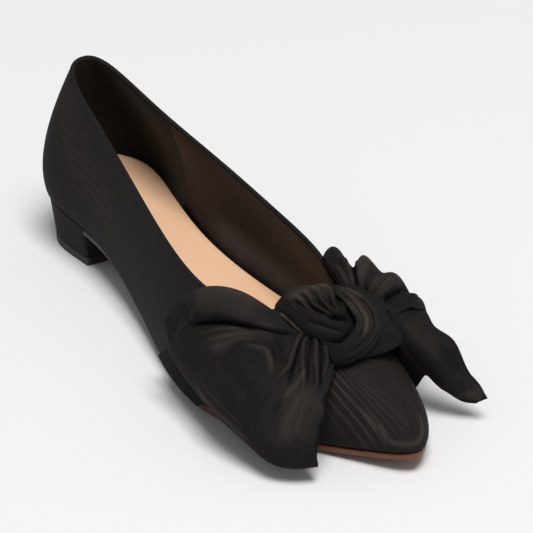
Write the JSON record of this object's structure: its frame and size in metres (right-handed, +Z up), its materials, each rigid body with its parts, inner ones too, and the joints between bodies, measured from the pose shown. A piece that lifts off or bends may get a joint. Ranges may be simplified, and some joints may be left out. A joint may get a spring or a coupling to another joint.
{
  "type": "bow flat",
  "caption": "Woman's right ballet flat in black moire cloth with a low block heel, almond toe and a soft tied ribbon bow across the vamp.",
  "frame": {"origin": "on the floor, under the middle of the whole shoe's bounding box, bow included", "axes": "+Z up, -Y towards the toe along the line from heel back to toe tip, +X towards the inner (big toe) side"},
  "size_m": [0.096, 0.2476, 0.073],
  "materials": {
    "upper_cloth": "ribbed watermarked cloth, soft low sheen",
    "bow_cloth": "ribbed watermarked ribbon, soft low sheen",
    "sock_leather": "smooth, satin",
    "sole_leather": "smooth, waxed edge",
    "heel_rubber": "matt"
  },
  "bodies": {
    "root": {"upper": "upper_cloth", "insole": "sock_leather", "outsole": "sole_leather", "heel": "upper_cloth", "heel_top_piece": "heel_rubber", "bow_knot": "bow_cloth", "bow_loop_outer": "bow_cloth", "bow_loop_inner": "bow_cloth", "bow_tail_outer": "bow_cloth", "bow_tail_inner": "bow_cloth"}
  },
  "joints": []
}
